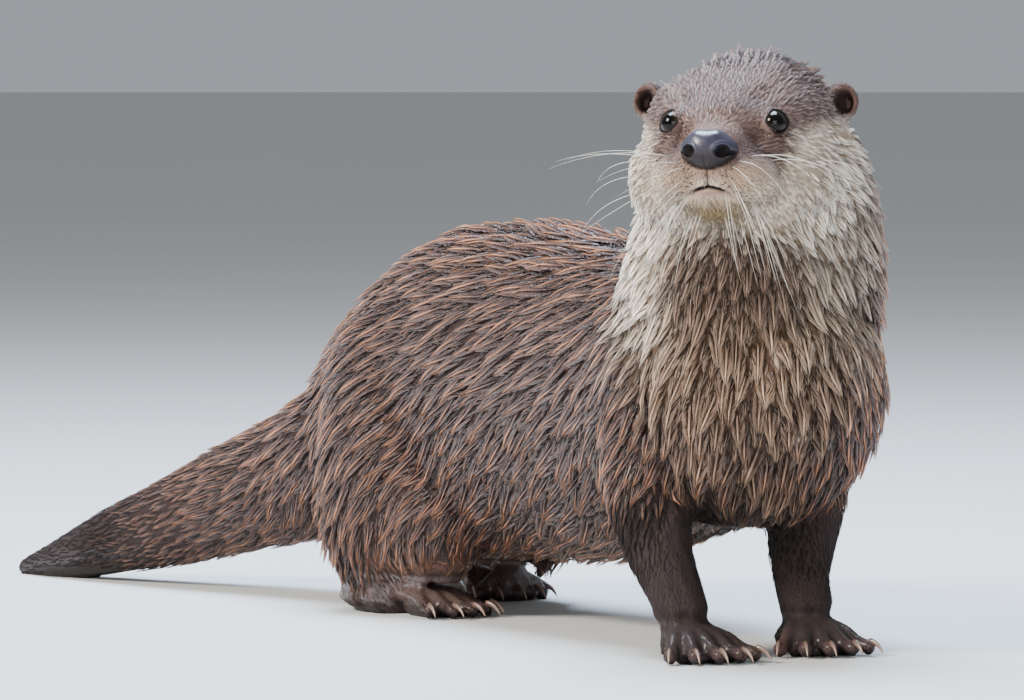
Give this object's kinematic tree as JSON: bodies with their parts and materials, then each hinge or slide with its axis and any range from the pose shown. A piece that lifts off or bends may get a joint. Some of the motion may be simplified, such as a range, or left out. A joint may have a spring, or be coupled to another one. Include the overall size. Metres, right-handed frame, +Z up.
{
  "type": "river otter",
  "caption": "Still, life-size river otter standing on the floor with its head raised and turned to its right and its long tapering tail trailing down behind it.",
  "frame": {"origin": "bottom centre of the otter's bounding box, on the floor it stands on", "axes": "+Z up; the trunk lies along Y and looks towards -Y, the tail points towards +Y; +X is the otter's left side"},
  "size_m": [0.208, 0.8268, 0.3163],
  "materials": {
    "fur": "wet fur in pointed locks, brown with paler tips, pale cream on throat and cheeks",
    "nose_skin": "moist, finely pebbled bare skin",
    "eye": "glossy, very dark brown",
    "claw_horn": "smooth pinkish-brown horn"
  },
  "bodies": {
    "root": {"claw_forepaw_left_1": "claw_horn", "claw_forepaw_left_2": "claw_horn", "claw_forepaw_left_3": "claw_horn", "claw_forepaw_left_4": "claw_horn", "claw_forepaw_left_5": "claw_horn", "claw_forepaw_right_1": "claw_horn", "claw_forepaw_right_2": "claw_horn", "claw_forepaw_right_3": "claw_horn", "claw_forepaw_right_4": "claw_horn", "claw_forepaw_right_5": "claw_horn", "claw_hindpaw_left_1": "claw_horn", "claw_hindpaw_left_2": "claw_horn", "claw_hindpaw_left_3": "claw_horn", "claw_hindpaw_left_4": "claw_horn", "claw_hindpaw_left_5": "claw_horn", "claw_hindpaw_right_1": "claw_horn", "claw_hindpaw_right_2": "claw_horn", "claw_hindpaw_right_3": "claw_horn", "claw_hindpaw_right_4": "claw_horn", "claw_hindpaw_right_5": "claw_horn", "ear_left": "fur", "ear_right": "fur", "eye_left": "eye", "eye_right": "eye", "foreleg_left": "fur", "foreleg_right": "fur", "forepaw_left": "fur", "forepaw_right": "fur", "head": "fur", "hindleg_left": "fur", "hindleg_right": "fur", "hindpaw_left": "fur", "hindpaw_right": "fur", "lower_jaw": "fur", "neck": "fur", "nose": "nose_skin", "tail_base": "fur", "tail_middle": "fur", "tail_tip": "fur", "trunk": "fur"}
  },
  "joints": []
}
